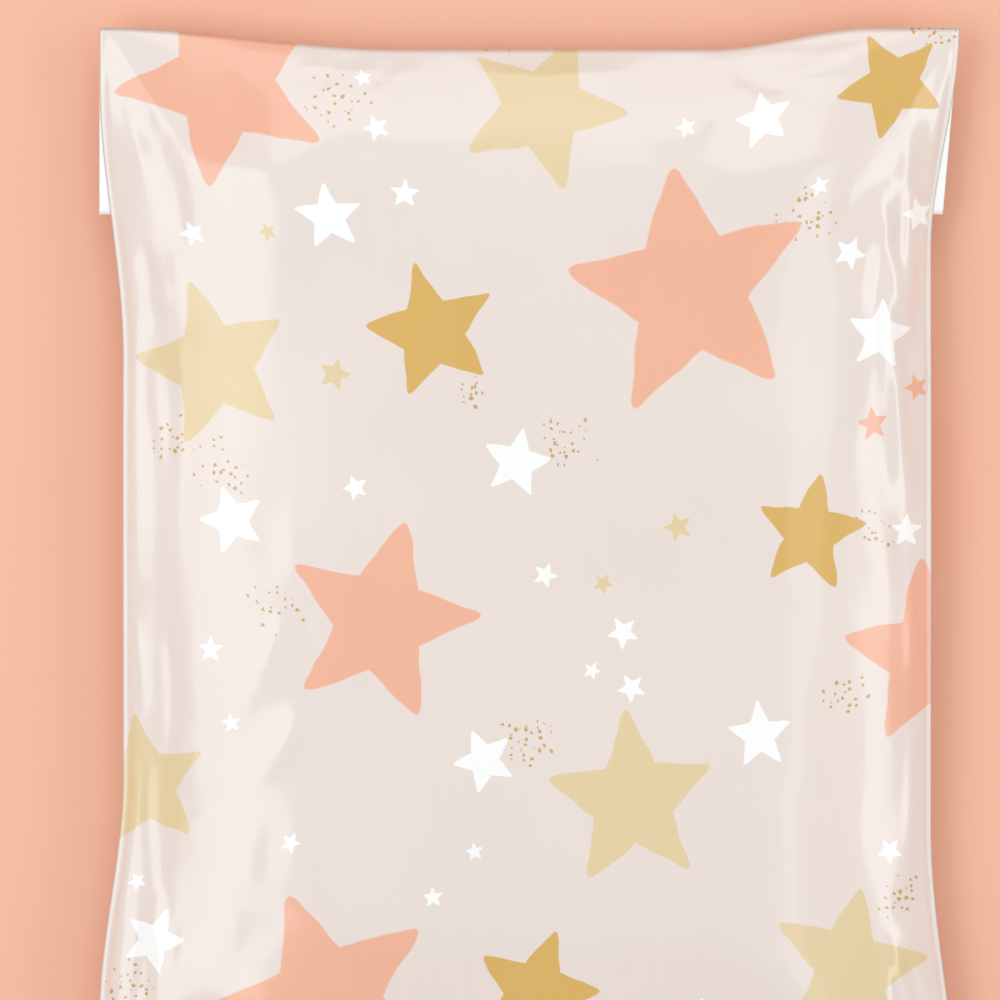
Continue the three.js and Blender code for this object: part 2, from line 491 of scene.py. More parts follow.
# %% Read the panels and add welds, puckers and creases
WELD_WIDTH = 1.6 * MM
WELD_FILM = 0.24 * MM
WELD_PUCKER = 0.22 * MM
PUCKER_REACH = 7 * MM
PUCKER_LENGTH = 4.2 * MM
PUCKER_SLIMNESS = 0.25
PUCKER_SEED = 3.0
PANEL_WAVE = 0.18 * MM
PANEL_WAVE_SCALES = (22, 16)
PANEL_WAVE_SEED = 9.0
PANEL_WAVE_FADE = 12 * MM


def refine(panel, side):
    points = np.einsum("ai,ijk,bj->abk", weights_u, panel, weights_v)
    from_edge = (1 - np.abs(U)) * FLAT_WIDTH / 2
    seam = np.where(U < 0, points[0, :, 2][None, :], points[-1, :, 2][None, :])
    pinch = 1 - smooth(WELD_WIDTH * 0.6, WELD_WIDTH * 1.6, from_edge)
    out = 1 if side == "front" else -1
    weld = seam + out * WELD_FILM / 2 * smooth(0, WELD_WIDTH / 3, from_edge)
    flat_x, flat_y = U * FLAT_WIDTH / 2, V * FLAT_LENGTH / 2
    pucker = noise_over(flat_x, flat_y, PUCKER_SLIMNESS / PUCKER_LENGTH, 1 / PUCKER_LENGTH, PUCKER_SEED)
    near = np.exp(-from_edge / PUCKER_REACH) * smooth(0, WELD_WIDTH * 2, from_edge)
    change = out * WELD_PUCKER * near * pucker
    if side == "front":
        wave = noise_over(flat_x, flat_y, *PANEL_WAVE_SCALES, PANEL_WAVE_SEED)
        inside = smooth(0, PANEL_WAVE_FADE, np.minimum(from_edge, (1 - np.abs(V)) * FLAT_LENGTH / 2))
        held_off = smooth(WELD_WIDTH, WELD_WIDTH * 2.5, from_edge)
        change = change + PANEL_WAVE * inside * wave
        change = change + held_off * fold_height(CREASES, points[..., 0], points[..., 1])
    points[..., 2] += change
    points[..., 2] += pinch * (weld - points[..., 2])
    return points


front = refine(panels["front"], "front")
back = refine(panels["back"], "back")
print("fine grid", front.shape[:2])

# %% [markdown]
# ## The flap
# The flap is a single layer of the same film. It turns over the top fold and is stuck down on the back, so
# it follows the back panel and lies just outside it. Because it isn't filled it keeps its full width, and
# its plain white inner face shows past the drawn-in sides. Rays sent up at the back find how high it lies.

# %% Make room for the flap on the back
FLAP_GAP = 0.30 * MM
FLAP_FILM = 0.22 * MM
FLAP_END = FLAT_LENGTH / 2 - FLAP_LENGTH
FLAP_CLEARANCE = 0.1 * MM
LOWEST = 0.06 * MM
LANDING = (9 * MM, 2 * MM)
BACK_DROP = 0.4 * MM
FOLD_ROUNDING = (0, -0.25 * MM, -0.35 * MM)


def raise_back_over_flap():
    over_flap = smooth(FLAP_END - LANDING[0], FLAP_END - LANDING[1], back[..., 1])
    least = LOWEST + over_flap * (FLAP_GAP + FLAP_FILM + FLAP_CLEARANCE)
    back[..., 2] = np.maximum(back[..., 2] - BACK_DROP * (1 - over_flap), least)


def share_outline():
    """The back meets the front along the sides and the bottom, and lies inside the fold along the top."""
    back[0], back[-1], back[:, 0] = front[0], front[-1], front[:, 0]
    back[:, -1] = front[:, -1] + np.array(FOLD_ROUNDING)


raise_back_over_flap()
share_outline()
print("lowest point of the back, mm", round(back[..., 2].min() / MM, 2))

# %% Lay the flap against the back
FLAP_STEPS = 30
FLAP_LEFT = 127.2 * MM
FLAP_RIGHT = 122.2 * MM
FLAP_EAR_DROP = 0.12
FLAP_SMOOTHING = 80
BESIDE_SEAM = 2.5 * MM


def flap_places():
    across = fine_u[:, None]
    down = np.linspace(0, 1, FLAP_STEPS + 1)[None, :]
    free_half = np.where(across < 0, FLAP_LEFT, FLAP_RIGHT)
    x = across * (FLAT_WIDTH / 2 + (free_half - FLAT_WIDTH / 2) * down)
    top = front[:, -1, 1][:, None]
    return x, top + (FLAP_END - top) * down


def lay_flap():
    body = BVHTree.FromPolygons(
        [Vector(p) for p in back.reshape(-1, 3)],
        [tuple(int(n) for n in f) for f in panel_faces(len(fine_u) - 1, len(fine_v) - 1, True)],
    )
    x, y = flap_places()
    limit = np.zeros(x.shape)
    held = np.zeros(x.shape, dtype=bool)
    for spot in np.ndindex(x.shape):
        seam = front[0 if x[spot] < 0 else -1]
        seam_x = abs(np.interp(y[spot], seam[:, 1], seam[:, 0]))
        beyond = abs(x[spot]) - seam_x
        held[spot] = beyond > -BESIDE_SEAM / 2
        hit = None
        if beyond < -BESIDE_SEAM:
            hit = body.ray_cast(Vector((x[spot], y[spot], -1)), Vector((0, 0, 1)))[0]
        if hit is None:
            limit[spot] = np.interp(y[spot], seam[:, 1], seam[:, 2]) - FLAP_EAR_DROP * max(beyond, 0)
        else:
            limit[spot] = hit.z
    limit -= FLAP_GAP
    z = limit.copy()
    for _ in range(FLAP_SMOOTHING):
        z[1:-1, 1:-1] = (z[:-2, 1:-1] + z[2:, 1:-1] + z[1:-1, :-2] + z[1:-1, 2:]) / 4
        z[:, -1] = z[:, -2]
        z = np.where(held, limit, np.minimum(z, limit))
    return np.stack([x, y, np.maximum(z, LOWEST + FLAP_FILM)], axis=-1)


flap_inner = lay_flap()
flap_outer = flap_inner - np.array([0, 0, FLAP_FILM])
flap_outer[:, 0], flap_inner[:, 0] = front[:, -1], back[:, -1]
flap_y = flap_inner[..., 1] / MM
print("flap from y", round(flap_y.max(), 1), "to", round(flap_y.min(), 1), "mm")

# %% [markdown]
# ## Where each point lies on the flat web
# A print is put on the flat film before the bag is made, so it bends with every fold and runs on over the
# edges. Each sheet of the bag knows its place on the web: the front in the middle, the flap above it, and
# the back below it, turned over at the bottom fold. A second map lays the sheets side by side.

# %% Find each point's place on the web
HALF_LENGTH = FLAT_LENGTH / 2
MAP_GAP = 6 * MM
MAP_WIDTH = 2 * FLAT_WIDTH + 3 * MAP_GAP
MAP_HEIGHT = FLAT_LENGTH + FLAP_LENGTH + 3 * MAP_GAP


def web_places():
    flat_x, flat_y = U * FLAT_WIDTH / 2, V * HALF_LENGTH
    flap_steps = np.linspace(0, FLAP_LENGTH, FLAP_STEPS + 1)
    across, down = np.meshgrid(fine_u * FLAT_WIDTH / 2, flap_steps, indexing="ij")
    on_front = np.stack([flat_x, flat_y], axis=-1)
    on_back = np.stack([flat_x, -FLAT_LENGTH - flat_y], axis=-1)
    on_flap = np.stack([across, HALF_LENGTH + down], axis=-1)
    return on_front, on_back, on_flap


def on_map(web, column, row):
    corner = np.array([MAP_GAP + column * (MAP_GAP + FLAT_WIDTH), MAP_GAP + row * (MAP_GAP + FLAT_LENGTH)])
    return web - web.reshape(-1, 2).min(axis=0) + corner


print("map of the sheets, mm", round(MAP_WIDTH / MM, 1), "by", round(MAP_HEIGHT / MM, 1))

# %% Number the points that the sheets share
def grid_numbers(start, shape):
    return start + np.arange(shape[0] * shape[1]).reshape(shape)


def number_points():
    """Point numbers of the four sheets, which share the points of the sides and the folds."""
    body, flap = front.shape[:2], flap_inner.shape[:2]
    on_front = grid_numbers(0, body)
    on_back = grid_numbers(on_front.max() + 1, body)
    outer = grid_numbers(on_back.max() + 1, flap)
    inner = grid_numbers(outer.max() + 1, flap)
    on_back[0, :-1], on_back[-1, :-1], on_back[:, 0] = on_front[0, :-1], on_front[-1, :-1], on_front[:, 0]
    outer[:, 0], inner[:, 0] = on_front[:, -1], on_back[:, -1]
    return on_front, on_back, outer, inner


print("places in the four sheets", int(number_points()[-1].max()) + 1)

# %% Close the flap's rim and the fold's corners
RIM_ON_MAP = 1.0 * MM


def open_ring(grid):
    """Down the left side of the flap, along its free edge and up the right side."""
    return np.concatenate([grid[0, :], grid[1:, -1], grid[-1, -2::-1]])


def rim_faces(outer, inner, on_flap):
    """The narrow cut edge round the flap, between its outer and its inner face."""
    outer, inner, web = open_ring(outer), open_ring(inner), open_ring(on_flap)
    first = open_ring(on_map(on_flap, 0, 1))
    low, high = first.min(axis=0), first.max(axis=0)
    aside = (first[:, 0] == high[0]) * 1.0 - (first[:, 0] == low[0])
    # the flap's own map has its free edge at the top
    outward = np.stack([aside, (first[:, 1] == high[1]) * 1.0], axis=-1) * RIM_ON_MAP
    walk = np.arange(len(outer) - 1)

    def strip(near, far):
        return np.stack([near[walk], near[walk + 1], far[walk + 1], far[walk]], axis=1)

    return strip(outer, inner), strip(web, web), strip(first, first + outward), 1.0


def corner_faces(n_front, n_back, on_front):
    """One small triangle closes each end of the top fold."""
    corners, corner_web, corner_map = [], [], []
    front_map = on_map(on_front, 0, 0)
    for column, away, order in ((0, -RIM_ON_MAP, (0, 1, 2)), (-1, RIM_ON_MAP, (1, 0, 2))):
        numbers = [n_front[column, -2], n_front[column, -1], n_back[column, -1]]
        beside = front_map[column, -1] + np.array([away, 0])
        spread = [front_map[column, -2], front_map[column, -1], beside]
        corners.append([numbers[k] for k in order])
        corner_map.append([spread[k] for k in order])
        corner_web.append([on_front[column, -1]] * 3)
    return np.array(corners), np.array(corner_web), np.array(corner_map), 1.0


print("width of the rim on the map, mm", RIM_ON_MAP / MM)

# %% Join the sheets into one mesh
def sheet_faces(numbers, web, spread, turned, inside):
    quads = panel_faces(numbers.shape[0] - 1, numbers.shape[1] - 1, turned)
    return numbers.ravel()[quads], web.reshape(-1, 2)[quads], spread.reshape(-1, 2)[quads], inside


def build_film():
    on_front, on_back, on_flap = web_places()
    n_front, n_back, n_outer, n_inner = number_points()
    groups = [
        sheet_faces(n_front, on_front, on_map(on_front, 0, 0), False, 0.0),
        sheet_faces(n_back, on_back, on_map(on_back, 1, 0), True, 0.0),
        sheet_faces(n_outer, on_flap, on_map(on_flap, 0, 1), False, 0.0),
        sheet_faces(n_inner, on_flap, on_map(on_flap, 1, 1), True, 1.0),
        rim_faces(n_outer, n_inner, on_flap),
        corner_faces(n_front, n_back, on_front),
    ]
    points = np.concatenate([g.reshape(-1, 3) for g in (front, back, flap_outer, flap_inner)])
    faces = [face for group in groups for face in group[0].tolist()]
    web = np.concatenate([group[1].reshape(-1, 2) for group in groups])
    spread = np.concatenate([group[2].reshape(-1, 2) for group in groups])
    inside = np.concatenate([np.full(group[1].size // 2, group[3]) for group in groups])
    used = np.unique(np.concatenate([group[0].ravel() for group in groups]))
    renumber = np.zeros(len(points), dtype=int)
    renumber[used] = np.arange(len(used))
    return points[used], [[int(renumber[n]) for n in face] for face in faces], web, spread, inside


points, faces, web, spread, inner = build_film()
layout = spread / np.array([MAP_WIDTH, MAP_HEIGHT])
film = add_mesh("mailer_film", points, faces)
film.data.polygons.foreach_set("use_smooth", np.ones(len(film.data.polygons), dtype=bool))
print("film mesh", len(points), "points", len(faces), "faces")

# %% [markdown]
# ## The star print
# The print is a scatter of five-pointed stars in peach, sand, ochre and white, with sprays of small gold
# flecks. It repeats along the web once for each turn of the printing roller, a little over a bag length.
# The big stars are listed one by one, as place, radius and turn in millimetres and degrees, and small ones
# are scattered between them.

# %% Place the big stars
PEACH = (245, 181, 152)
SAND = (232, 208, 162)
OCHRE = (222, 178, 96)
WHITE = (255, 253, 250)
BIG_STARS = [
    # x, y, radius, turn, ink
    (50, 90, 42, 10, PEACH),
    (-46, -10, 33, -14, PEACH),
    (-90, 150, 34, 25, PEACH),
    (126, -20, 30, 6, PEACH),
    (-60, -124, 37, 20, PEACH),
    (4, 146, 27, -22, SAND),
    (-98, 66, 27, 15, SAND),
    (32, -64, 29, 4, SAND),
    (98, -112, 26, -12, SAND),
    (-120, -58, 22, 9, SAND),
    (-30, 78, 22, 14, OCHRE),
    (88, 16, 19, -9, OCHRE),
    (2, -122, 21, -17, OCHRE),
    (108, 148, 18, 30, OCHRE),
    (-60, 112, 11, 8, WHITE),
    (-4, 38, 11.5, -12, WHITE),
    (-92, 20, 11, 18, WHITE),
    (72, -44, 11, 5, WHITE),
    (-14, -52, 10.5, 24, WHITE),
    (110, 74, 11.5, -6, WHITE),
    (54, -134, 11, 15, WHITE),
    (-112, -104, 10.5, -20, WHITE),
    (70, 141, 9.5, 12, WHITE),
]
print("big stars", len(BIG_STARS))

# %% Scatter the small stars
SMALL_STARS = 34
SMALL_RADII = (3.0, 3.4, 4.2, 4.8, 5.4)
SMALL_INKS = (WHITE, WHITE, WHITE, WHITE, PEACH, SAND)
STAR_SPACING = 4.0
STAR_TRIES = 4000
STAR_SEED = 41
PRINTED_HALF_WIDTH = 122
NOTCH_ROOM = 0.86
REPEAT = 346


def too_close(x, y, radius, placed):
    for other_x, other_y, other_radius, _, _ in placed:
        room = radius + NOTCH_ROOM * other_radius + STAR_SPACING
        for shift in (-REPEAT, 0, REPEAT):
            if math.hypot(x - other_x, y - other_y + shift) < room:
                return True
    return False


def scatter_small_stars():
    dice = random.Random(STAR_SEED)
    placed = list(BIG_STARS)
    for _ in range(STAR_TRIES):
        if len(placed) == len(BIG_STARS) + SMALL_STARS:
            break
        x = dice.uniform(-PRINTED_HALF_WIDTH, PRINTED_HALF_WIDTH)
        y = dice.uniform(-REPEAT / 2, REPEAT / 2)
        radius = dice.choice(SMALL_RADII)
        ink = dice.choice(SMALL_INKS)
        turn = dice.uniform(-36, 36)
        if not too_close(x, y, radius, placed):
            placed.append((x, y, radius, turn, ink))
    return placed


stars = scatter_small_stars()
print("stars on one bag length", len(stars))

# %% [markdown]
# ## Store the print on the film
# Each face of the film belongs to the star whose edge is nearest. Its corners keep their place measured
# from that star's centre, in star radii, and the star's ink. One formula in the material then draws every
# star with a sharp edge, however large it is.

# %% Find the nearest star of each face
def linear(colour):
    """An sRGB colour from 0 to 255 as the linear values that materials use."""
    share = np.array(colour, dtype=float) / 255
    return np.where(share <= 0.04045, share / 12.92, ((share + 0.055) / 1.055) ** 2.4)


def repeated(entries):
    return [(e[0], e[1] + shift * REPEAT, *e[2:]) for e in entries for shift in (-2, -1, 0, 1)]


def face_starts():
    starts = np.zeros(len(film.data.polygons), dtype=int)
    film.data.polygons.foreach_get("loop_start", starts)
    return starts


def star_places(corners):
    rows = repeated(stars)
    centres = np.array([(row[0], row[1]) for row in rows]) * MM
    radii = np.array([row[2] for row in rows]) * MM
    turns = np.radians([row[3] for row in rows])
    inks = np.array([linear(row[4]) for row in rows])
    starts = face_starts()
    sizes = np.diff(np.append(starts, len(corners)))
    middles = np.add.reduceat(corners, starts) / sizes[:, None]
    best = np.zeros(len(middles), dtype=int)
    least = np.full(len(middles), np.inf)
    for number, (centre, radius) in enumerate(zip(centres, radii)):
        gap = np.hypot(*(middles - centre).T) - radius
        nearer = gap < least
        best[nearer] = number
        least[nearer] = gap[nearer]
    own = np.repeat(best, sizes)
    away = (corners - centres[own]) / radii[own][:, None]
    cos, sin = np.cos(turns[own]), np.sin(turns[own])
    place = np.stack([away[:, 0] * cos + away[:, 1] * sin, -away[:, 0] * sin + away[:, 1] * cos], axis=-1)
    return place, inks[own]


place, ink = star_places(web)
print("corners that know their star", len(place))

# %% Spray gold flecks beside the stars
SPRAYS = 15
SPRAY_RADIUS = (7.0, 12.0)
SPRAY_SEED = 12
SPRAY_STAR_STEP = 5
SPRAY_REACH = (0.8, 0.6)


def spray_strength(corners):
    dice = random.Random(SPRAY_SEED)
    strength = np.zeros(len(corners))
    for number in range(SPRAYS):
        near = BIG_STARS[(number * SPRAY_STAR_STEP + 1) % len(BIG_STARS)]
        angle = dice.uniform(0, 2 * math.pi)
        radius = dice.uniform(*SPRAY_RADIUS)
        reach = near[2] * SPRAY_REACH[0] + radius * SPRAY_REACH[1]
        x = near[0] + reach * math.cos(angle)
        y = near[1] + reach * math.sin(angle)
        for _, centre_y in repeated([(x, y)]):
            distance = np.hypot(corners[:, 0] - x * MM, corners[:, 1] - centre_y * MM)
            strength = np.maximum(strength, 1 - distance / (radius * MM))
    return np.clip(strength, 0, 1)


spray = spray_strength(web)
print("share of the corners under a spray", round(float((spray > 0).mean()), 3))

# %% Store the values on the film
def store_map(name, values):
    layer = film.data.uv_layers.new(name=name)
    layer.data.foreach_set("uv", values.astype(np.float32).ravel())


def store_value(name, values):
    layer = film.data.attributes.new(name, "FLOAT", "CORNER")
    layer.data.foreach_set("value", values.astype(np.float32))


def store_colour(name, values):
    layer = film.data.attributes.new(name, "FLOAT_COLOR", "CORNER")
    full = np.concatenate([values, np.ones((len(values), 1))], axis=1)
    layer.data.foreach_set("color", full.astype(np.float32).ravel())


edge_distance = FLAT_WIDTH / 2 - np.abs(web[:, 0])
store_map("OFBake", layout)
store_map("web", web)
store_map("star", place)
store_colour("ink", ink)
store_value("spray", spray)
store_value("inner", inner)
store_value("weld", (1 - smooth(WELD_WIDTH * 0.3, WELD_WIDTH * 0.8, edge_distance)) * (1 - inner))
print("maps", [layer.name for layer in film.data.uv_layers])

# %% [markdown]
# ## A closed skin
# Every edge of a closed skin is shared by exactly two faces. Counting the others finds gaps and doubled
# walls.

# %% Check that the skin is closed
def open_edges(mesh):
    uses = {}
    for face in mesh.polygons:
        for edge in face.edge_keys:
            uses[edge] = uses.get(edge, 0) + 1
    return sum(count != 2 for count in uses.values())


print("edges that aren't shared by two faces", open_edges(film.data))

# %% [markdown]
# ## Node helpers
# A material is easier to read when its sums are written as sums. These helpers add one node each and give
# back its output, so that a star's outline reads like the formula that it is.

# %% Write node helpers
COLUMN_WIDTH = 170
ROW_HEIGHT = 200


class Nodes:
    """Adds nodes to one tree, laid out from left to right in the order they are made."""

    def __init__(self, tree):
        self.tree = tree
        self.column = 0

    def add(self, kind, inputs=(), **settings):
        node = self.tree.nodes.new(kind)
        node.location = (self.column * COLUMN_WIDTH, -ROW_HEIGHT * (self.column % 3))
        self.column += 1
        for name, value in settings.items():
            setattr(node, name, value)
        for socket, value in dict(inputs).items():
            self.feed(node.inputs[socket], value)
        return node

    def feed(self, socket, value):
        if isinstance(value, bpy.types.NodeSocket):
            self.tree.links.new(value, socket)
        else:
            socket.default_value = value

    def math(self, operation, *values, clamp=False):
        node = self.add("ShaderNodeMath", enumerate(values), operation=operation, use_clamp=clamp)
        return node.outputs[0]

    def vector(self, operation, *values):
        node = self.add("ShaderNodeVectorMath", enumerate(values), operation=operation)
        return node.outputs[1 if operation in ("LENGTH", "DISTANCE") else 0]

    def mix(self, share, first, second):
        node = self.add("ShaderNodeMix", data_type="RGBA")
        self.feed(node.inputs[0], share)
        self.feed(node.inputs[6], first)
        self.feed(node.inputs[7], second)
        return node.outputs[2]

    def ramp(self, value, low, high, to_low=0.0, to_high=1.0):
        node = self.add("ShaderNodeMapRange", interpolation_type="SMOOTHSTEP")
        for socket, number in enumerate((value, low, high, to_low, to_high)):
            self.feed(node.inputs[socket], number)
        return node.outputs[0]

    def noise(self, place, scale, detail=2.0, stretch=(1, 1, 1)):
        stretched = self.vector("MULTIPLY", place, stretch)
        node = self.add("ShaderNodeTexNoise", {"Vector": stretched, "Scale": scale, "Detail": detail})
        return node.outputs["Fac"]


def rgba(colour):
    return (*(float(n) for n in linear(colour)), 1.0)


print("peach as linear values", [round(n, 3) for n in rgba(PEACH)[:3]])

# %% [markdown]
# ## One star as a formula
# A five-pointed star is ten copies of one straight edge, from a point at radius 1 to a notch nearer the
# middle. Folding the angle into a tenth of a turn leaves that one edge to measure from. A smooth maximum
# with a circle softens the points, and a little noise makes the arms uneven, as in a cut-paper star.

# %% Build the star outline group
NOTCH = 0.45
POINT_REACH = 0.94
POINT_SOFTNESS = 0.10
EDGE_WIDTH = 0.008
WOBBLE_IN_STAR = 1.3
WOBBLE_ON_WEB = 9
WOBBLE_DETAIL = 1.5


def star_group():
    group = bpy.data.node_groups.new("Star outline", "ShaderNodeTree")
    group.interface.new_socket("Place", in_out="INPUT", socket_type="NodeSocketVector")
    group.interface.new_socket("Web", in_out="INPUT", socket_type="NodeSocketVector")
    group.interface.new_socket("Unevenness", in_out="INPUT", socket_type="NodeSocketFloat")
    group.interface.new_socket("Mask", in_out="OUTPUT", socket_type="NodeSocketFloat")
    n = Nodes(group)
    given = n.add("NodeGroupInput").outputs
    in_star = n.vector("MULTIPLY", given["Place"], (WOBBLE_IN_STAR,) * 3)
    on_web = n.vector("MULTIPLY", given["Web"], (WOBBLE_ON_WEB,) * 3)
    source = {"Vector": n.vector("ADD", in_star, on_web), "Scale": 1.0, "Detail": WOBBLE_DETAIL}
    wobble = n.add("ShaderNodeTexNoise", source)
    centred = n.vector("SUBTRACT", wobble.outputs["Color"], (0.5, 0.5, 0.5))
    amount = n.add("ShaderNodeCombineXYZ", {0: given["Unevenness"], 1: given["Unevenness"]}).outputs[0]
    place = n.vector("ADD", given["Place"], n.vector("MULTIPLY", centred, amount))
    part = n.add("ShaderNodeSeparateXYZ", {0: place}).outputs
    flat = n.add("ShaderNodeCombineXYZ", {0: part[0], 1: part[1]}).outputs[0]
    radius = n.vector("LENGTH", flat)
    tenth = math.pi / 5
    turned = n.math("ADD", n.math("ARCTAN2", part[0], part[1]), 2 * math.pi + tenth)
    angle = n.math("ABSOLUTE", n.math("SUBTRACT", n.math("MODULO", turned, 2 * tenth), tenth))
    along = n.math("MULTIPLY", radius, n.math("COSINE", angle))
    aside = n.math("MULTIPLY", radius, n.math("SINE", angle))
    notch_x, notch_y = NOTCH * math.cos(tenth), NOTCH * math.sin(tenth)
    edge = math.hypot(1 - notch_x, notch_y)
    first = n.math("MULTIPLY", n.math("SUBTRACT", along, 1.0), notch_y / edge)
    outside = n.math("ADD", first, n.math("MULTIPLY", aside, (1 - notch_x) / edge))
    rounded = n.math("SMOOTH_MAX", outside, n.math("SUBTRACT", radius, POINT_REACH), POINT_SOFTNESS)
    mask = n.ramp(rounded, -EDGE_WIDTH, EDGE_WIDTH, 1.0, 0.0)
    n.add("NodeGroupOutput", {0: mask})
    return group


star_outline = star_group()
print("group", star_outline.name, len(star_outline.nodes), "nodes")

# %% [markdown]
# ## The printed film
# The film is coextruded polyethylene, cream outside and white inside, about 0.06 mm thick. It is smooth and
# half glossy: broad lamps show in it as soft-edged bright patches. It has a faint grain along the web from
# the blowing of the film, a slight orange peel, and a duller welded strip at the sides.

# %% Draw the gold flecks
GOLD = (205, 168, 98)
FLECKS_PER_METRE = 470
FLECK_BEND_SCALE = 900.0
FLECK_BEND = 1.2 * MM
FLECK_SIZES = (0.13, 0.30)
FLECK_EDGE = 0.02
FLECK_CROWDING = 0.92


def gold_flecks(n, web_place, spray):
    """Some cells of a Voronoi pattern hold a fleck, and more of them near the middle of a spray."""
    bent = n.add("ShaderNodeTexNoise", {"Vector": web_place, "Scale": FLECK_BEND_SCALE, "Detail": 1.0})
    centred = n.vector("SUBTRACT", bent.outputs["Color"], (0.5, 0.5, 0.5))
    shifted = n.vector("ADD", web_place, n.vector("MULTIPLY", centred, (FLECK_BEND, FLECK_BEND, 0)))
    source = {"Vector": shifted, "Scale": FLECKS_PER_METRE}
    flecks = n.add("ShaderNodeTexVoronoi", source, voronoi_dimensions="2D")
    chance = n.add("ShaderNodeSeparateColor", {0: flecks.outputs["Color"]}).outputs
    size = n.math("MULTIPLY_ADD", chance[1], FLECK_SIZES[1] - FLECK_SIZES[0], FLECK_SIZES[0])
    beyond = n.math("SUBTRACT", flecks.outputs["Distance"], size)
    inside = n.ramp(beyond, -FLECK_EDGE, FLECK_EDGE, 1.0, 0.0)
    chosen = n.math("LESS_THAN", chance[0], n.math("MULTIPLY", spray, FLECK_CROWDING))
    return n.math("MULTIPLY", inside, chosen)


print("one fleck at most in each", round(1 / FLECKS_PER_METRE / MM, 1), "mm")

# %% Collect what the finish is made from
CLOUD_SCALE = 14.0
GRAIN_SCALE = 60.0
GRAIN_STRETCH = (6.0, 0.5, 1.0)
STAR_UNEVENNESS = 0.16


def film_values(n):
    """What the colour, the gloss and the relief are all made from."""
    web = n.add("ShaderNodeUVMap", uv_map="web").outputs[0]
    star = n.add("ShaderNodeUVMap", uv_map="star").outputs[0]
    values = {"web": web, "ink": n.add("ShaderNodeAttribute", attribute_name="ink").outputs["Color"]}
    for name in ("spray", "inner", "weld"):
        values[name] = n.add("ShaderNodeAttribute", attribute_name=name).outputs["Fac"]
    outline = n.add("ShaderNodeGroup", node_tree=star_outline)
    for socket, value in (("Place", star), ("Web", web), ("Unevenness", STAR_UNEVENNESS)):
        n.feed(outline.inputs[socket], value)
    values["mask"] = outline.outputs["Mask"]
    values["cloud"] = n.noise(web, CLOUD_SCALE, 3.0)
    values["grain"] = n.noise(web, GRAIN_SCALE, 4.0, GRAIN_STRETCH)
    return values


print("size of the cloudy patches, mm", round(1000 / CLOUD_SCALE))

# %% Write the film's colour
FILM_CREAM = (238, 223, 214)
FILM_INSIDE = (252, 251, 249)
# Where the cloudy noise of the film lies between its dark and light parts, and what that does
CLOUD = (0.3, 0.7)
CLOUD_TONE = (0.985, 1.01)
GRAIN_TONE = 0.003
SPECK_SCALE = 1500.0
SPECK_RANGE = (0.25, 0.5)
SPECK_COVER = (0.93, 1.0)
WELD_WHITENING = 0.25


def film_colour(n, v):
    cloudy = n.ramp(v["cloud"], *CLOUD, *CLOUD_TONE)
    tone = n.math("ADD", cloudy, n.ramp(v["grain"], *CLOUD, -GRAIN_TONE, GRAIN_TONE))
    speck = n.noise(v["web"], SPECK_SCALE, 2.0)
    cover = n.math("MULTIPLY", v["mask"], n.ramp(speck, *SPECK_RANGE, *SPECK_COVER))
    colour = n.mix(cover, rgba(FILM_CREAM), v["ink"])
    beside = n.math("SUBTRACT", 1.0, v["mask"])
    flecks = n.math("MULTIPLY", gold_flecks(n, v["web"], v["spray"]), beside)
    colour = n.mix(flecks, colour, rgba(GOLD))
    colour = n.mix(v["inner"], colour, rgba(FILM_INSIDE))
    colour = n.mix(n.math("MULTIPLY", v["weld"], WELD_WHITENING), colour, rgba(FILM_INSIDE))
    bright = n.add("ShaderNodeCombineXYZ", {0: tone, 1: tone, 2: tone}).outputs[0]
    return n.vector("MULTIPLY", colour, bright)


print("cream as linear values", [round(n, 3) for n in rgba(FILM_CREAM)[:3]])

# %% Write the film's gloss and fine relief
CLOUD_ROUGHNESS = (0.17, 0.24)
WELD_ROUGHNESS = 0.18
INK_ROUGHNESS = 0.03
# Heights of the fine relief in millimetres
PEEL_HEIGHT, PEEL_SCALE = 0.008, 420.0
GRAIN_HEIGHT = 0.007
DIMPLE_HEIGHT, DIMPLE_SCALE = 0.035, 95.0
INK_HEIGHT = 0.004


def film_roughness(n, v):
    bare = n.ramp(v["cloud"], *CLOUD, *CLOUD_ROUGHNESS)
    with_weld = n.math("ADD", bare, n.math("MULTIPLY", v["weld"], WELD_ROUGHNESS))
    return n.math("ADD", with_weld, n.math("MULTIPLY", v["mask"], INK_ROUGHNESS))


def film_relief(n, v):
    peel = n.noise(v["web"], PEEL_SCALE, 2.0)
    dimples = n.noise(v["web"], DIMPLE_SCALE, 2.0)
    height = n.math("MULTIPLY", peel, PEEL_HEIGHT)
    height = n.math("ADD", height, n.math("MULTIPLY", v["grain"], GRAIN_HEIGHT))
    height = n.math("ADD", height, n.math("MULTIPLY", dimples, DIMPLE_HEIGHT))
    height = n.math("ADD", height, n.math("MULTIPLY", v["mask"], INK_HEIGHT))
    return n.add("ShaderNodeBump", {"Height": height, "Strength": 1.0, "Distance": MM}).outputs[0]


print("roughness of the bare film", CLOUD_ROUGHNESS)

# %% Put the film material together
FILM_IOR = 1.5
GLOSS_COAT = 0.35
GLOSS_COAT_ROUGHNESS = 0.07


def film_material():
    material = bpy.data.materials.new("star_printed_film")
    material.use_nodes = True
    n = Nodes(material.node_tree)
    shader = material.node_tree.nodes["Principled BSDF"]
    values = film_values(n)
    n.feed(shader.inputs["Base Color"], film_colour(n, values))
    n.feed(shader.inputs["Roughness"], film_roughness(n, values))
    n.feed(shader.inputs["Normal"], film_relief(n, values))
    shader.inputs["IOR"].default_value = FILM_IOR
    shader.inputs["Coat Weight"].default_value = GLOSS_COAT
    shader.inputs["Coat Roughness"].default_value = GLOSS_COAT_ROUGHNESS
    return material


film.data.materials.append(film_material())
print("material", film.data.materials[0].name)

